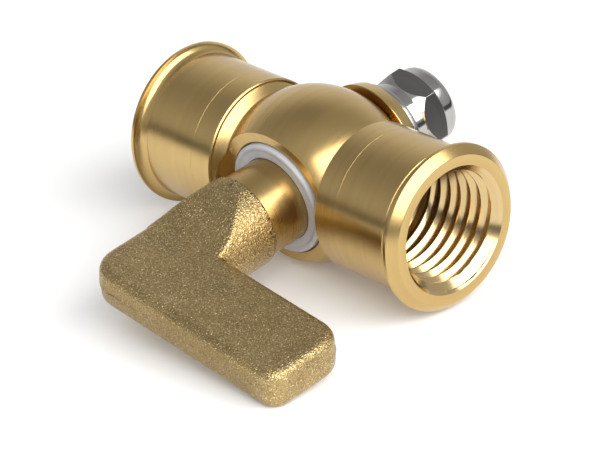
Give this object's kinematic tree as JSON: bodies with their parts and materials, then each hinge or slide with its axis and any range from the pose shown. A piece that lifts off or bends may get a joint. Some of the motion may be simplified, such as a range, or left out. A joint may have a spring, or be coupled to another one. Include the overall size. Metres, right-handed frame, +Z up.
{
  "type": "air cock",
  "caption": "Brass air cock with a straight turned body, a female pipe thread in each end and a tapered plug that a cast L-shaped handle turns.",
  "frame": {"origin": "on the pipe axis where the full thread of the inlet starts, just inside its countersink", "axes": "+X along the pipe from the inlet to the outlet, +Z up as the cock lies on a table"},
  "size_m": [0.0415, 0.0438, 0.018],
  "materials": {
    "body_brass": "turned, bright",
    "sleeve_plastic": "smooth, waxy",
    "cast_brass": "sand cast, with a turned stem",
    "washer_brass": "turned",
    "washer_steel": "plated",
    "nut_nickel": "bright plated",
    "insert_nylon": "smooth"
  },
  "bodies": {
    "valve_body": {"body": "body_brass", "sleeve": "sleeve_plastic"},
    "plug": {"plug_handle": "cast_brass", "tail_washer": "washer_brass", "flat_washer": "washer_steel", "lock_nut": "nut_nickel", "nylon_insert": "insert_nylon"}
  },
  "joints": [
    {"name": "plug_turn", "type": "hinge", "parent": "valve_body", "child": "plug", "pos_m": [0.01868, 0, 0], "axis": [0, 0.989, 0.1478], "continuous": true}
  ]
}
